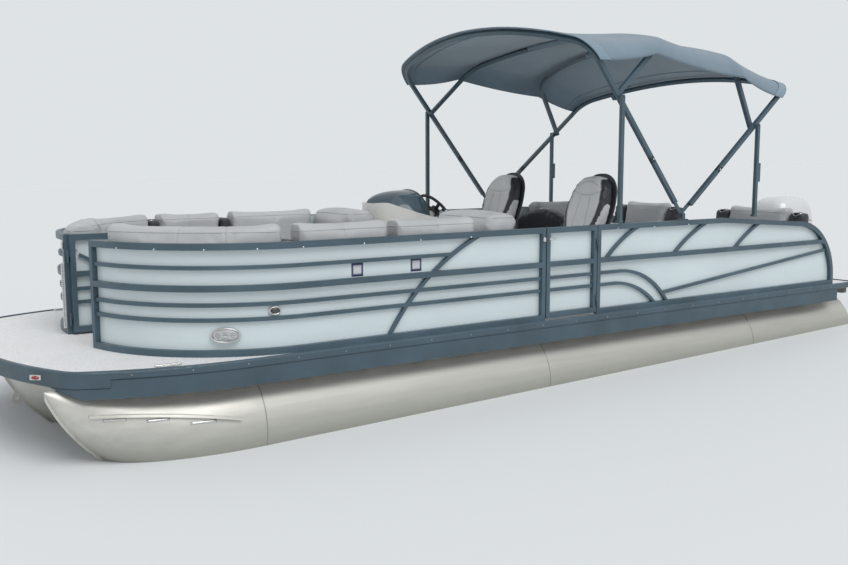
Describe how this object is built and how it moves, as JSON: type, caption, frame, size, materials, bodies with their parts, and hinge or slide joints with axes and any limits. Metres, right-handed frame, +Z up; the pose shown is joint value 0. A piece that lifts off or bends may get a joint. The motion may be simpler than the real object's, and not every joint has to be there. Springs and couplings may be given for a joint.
{
  "type": "pontoon boat",
  "caption": "Three-tube pontoon boat with a fenced deck, swinging gates, wrap-round lounges, helm console, swivel chairs, folding bimini top and tilting outboard motor.",
  "frame": {"origin": "on the centreline at the waterline, level with the stern end of the side fence", "axes": "+X to the bow, +Y to port, +Z up"},
  "size_m": [8.0848, 2.58, 3.2736],
  "materials": {
    "hull_aluminium": "satin, brushed along the tube",
    "deck_vinyl": "matte woven vinyl",
    "trim_paint": "satin",
    "rail_paint": "satin",
    "skin_paint": "gloss",
    "seat_shell": "matte",
    "vinyl_light": "satin marine vinyl",
    "vinyl_dark": "satin marine vinyl",
    "smoked_screen": "gloss",
    "wheel_grip": "matte",
    "pedestal_metal": "satin",
    "canopy_cloth": "matte woven",
    "motor_cowl": "gloss",
    "motor_paint": "gloss",
    "engine_metal": "matte",
    "propeller_steel": "satin",
    "lamp": "gloss",
    "cleat_metal": "satin"
  },
  "bodies": {
    "root": {"aft_cushions": "vinyl_light", "aft_seat_bases": "seat_shell", "bimini_mounts": "rail_paint", "bimini_rear_bow": "rail_paint", "bimini_rear_struts": "rail_paint", "bow_cushions_port": "vinyl_light", "bow_cushions_starboard": "vinyl_light", "bow_seat_base_port": "seat_shell", "bow_seat_base_starboard": "seat_shell", "canopy": "canopy_cloth", "chair_pedestals": "pedestal_metal", "cleats": "cleat_metal", "console": "seat_shell", "corner_lights": "lamp", "crossbeams": "hull_aluminium", "deck": "deck_vinyl", "end_trim": "trim_paint", "fence_frame_port": "rail_paint", "fence_frame_starboard": "rail_paint", "fence_frame_stern": "rail_paint", "fence_skin_port": "skin_paint", "fence_skin_starboard": "skin_paint", "fence_skin_stern": "skin_paint", "motor_pod": "hull_aluminium", "outboard_clamp": "motor_paint", "seat_arms": "vinyl_dark", "side_trim_port": "trim_paint", "side_trim_starboard": "trim_paint", "tube_centre": "hull_aluminium", "tube_port": "hull_aluminium", "tube_starboard": "hull_aluminium", "windscreen": "smoked_screen"},
    "side_gate": {"side_gate_frame": "rail_paint", "side_gate_skin": "skin_paint"},
    "bow_gate": {"bow_gate_frame": "rail_paint", "bow_gate_skin": "skin_paint"},
    "stern_gate": {"stern_gate_frame": "rail_paint", "stern_gate_skin": "skin_paint"},
    "chair_port": {"chair_shell_port": "vinyl_dark", "chair_cushions_port": "vinyl_light"},
    "chair_starboard": {"chair_shell_starboard": "vinyl_dark", "chair_cushions_starboard": "vinyl_light"},
    "front_bow": {"bimini_front_bow": "rail_paint"},
    "front_mid_bow": {"bimini_front_mid_bow": "rail_paint"},
    "rear_mid_bow": {"bimini_rear_mid_bow": "rail_paint"},
    "front_struts": {"bimini_front_struts": "rail_paint"},
    "swivel_bracket": {"outboard_swivel": "motor_paint"},
    "motor": {"outboard_leg": "motor_paint", "outboard_cowl": "motor_cowl", "outboard_engine": "engine_metal"},
    "propeller": {"propeller": "propeller_steel"},
    "helm_wheel": {"steering_wheel": "wheel_grip"}
  },
  "joints": [
    {"name": "side_gate_swing", "type": "hinge", "parent": "root", "child": "side_gate", "pos_m": [2.9, 1.238, 0.7], "axis": [0, 0, 1], "range_deg": [0, 110]},
    {"name": "bow_gate_swing", "type": "hinge", "parent": "root", "child": "bow_gate", "pos_m": [6.2, -0.088, 0.7], "axis": [0, 0, 1], "range_deg": [-87, 0]},
    {"name": "stern_gate_swing", "type": "hinge", "parent": "root", "child": "stern_gate", "pos_m": [0.099, -0.296, 0.65], "axis": [0, 0, 1], "range_deg": [-90, 0]},
    {"name": "starboard_chair_swivel", "type": "hinge", "parent": "root", "child": "chair_starboard", "pos_m": [2.425, -0.75, 0.742], "axis": [0, 0, 1], "continuous": true},
    {"name": "port_chair_swivel", "type": "hinge", "parent": "root", "child": "chair_port", "pos_m": [2.425, 0.4, 0.742], "axis": [0, 0, 1], "continuous": true},
    {"name": "bimini_fold", "type": "hinge", "parent": "root", "child": "front_bow", "pos_m": [1.98, 0, 1.12], "axis": [0, -1, 0], "range_deg": [0, 70], "deforming": ["canopy"]},
    {"name": "front_mid_bow_fold", "type": "hinge", "parent": "front_bow", "child": "front_mid_bow", "pos_m": [2.686, 0, 1.981], "axis": [0, -1, 0], "range_deg": [-75, 0]},
    {"name": "front_strut_fold", "type": "hinge", "parent": "front_bow", "child": "front_struts", "pos_m": [2.686, 0, 1.981], "axis": [0, -1, 0], "range_deg": [-37, 0]},
    {"name": "rear_mid_bow_fold", "type": "hinge", "parent": "root", "child": "rear_mid_bow", "pos_m": [1.146, 0, 1.809], "axis": [0, -1, 0], "range_deg": [0, 68]},
    {"name": "outboard_tilt", "type": "hinge", "parent": "root", "child": "swivel_bracket", "pos_m": [-0.69, 0, 0.43], "axis": [0, 1, 0], "range_deg": [0, 60]},
    {"name": "outboard_steer", "type": "hinge", "parent": "swivel_bracket", "child": "motor", "pos_m": [-0.775, 0, 0.2], "axis": [0, 0, 1], "range_deg": [-30, 30]},
    {"name": "propeller_spin", "type": "hinge", "parent": "motor", "child": "propeller", "pos_m": [-1.21, 0, -0.48], "axis": [1, 0, 0], "continuous": true},
    {"name": "wheel_turn", "type": "hinge", "parent": "root", "child": "helm_wheel", "pos_m": [2.935, -0.75, 1.105], "axis": [-0.77, 0, 0.638], "range_deg": [-360, 360]}
  ],
  "couplings": [
    {"joint": "front_mid_bow_fold", "follows": "bimini_fold", "ratio": -1.07},
    {"joint": "front_strut_fold", "follows": "bimini_fold", "ratio": -0.52714},
    {"joint": "rear_mid_bow_fold", "follows": "bimini_fold", "ratio": 0.97},
    {"joint": "wheel_turn", "follows": "outboard_steer", "ratio": -11.99}
  ]
}
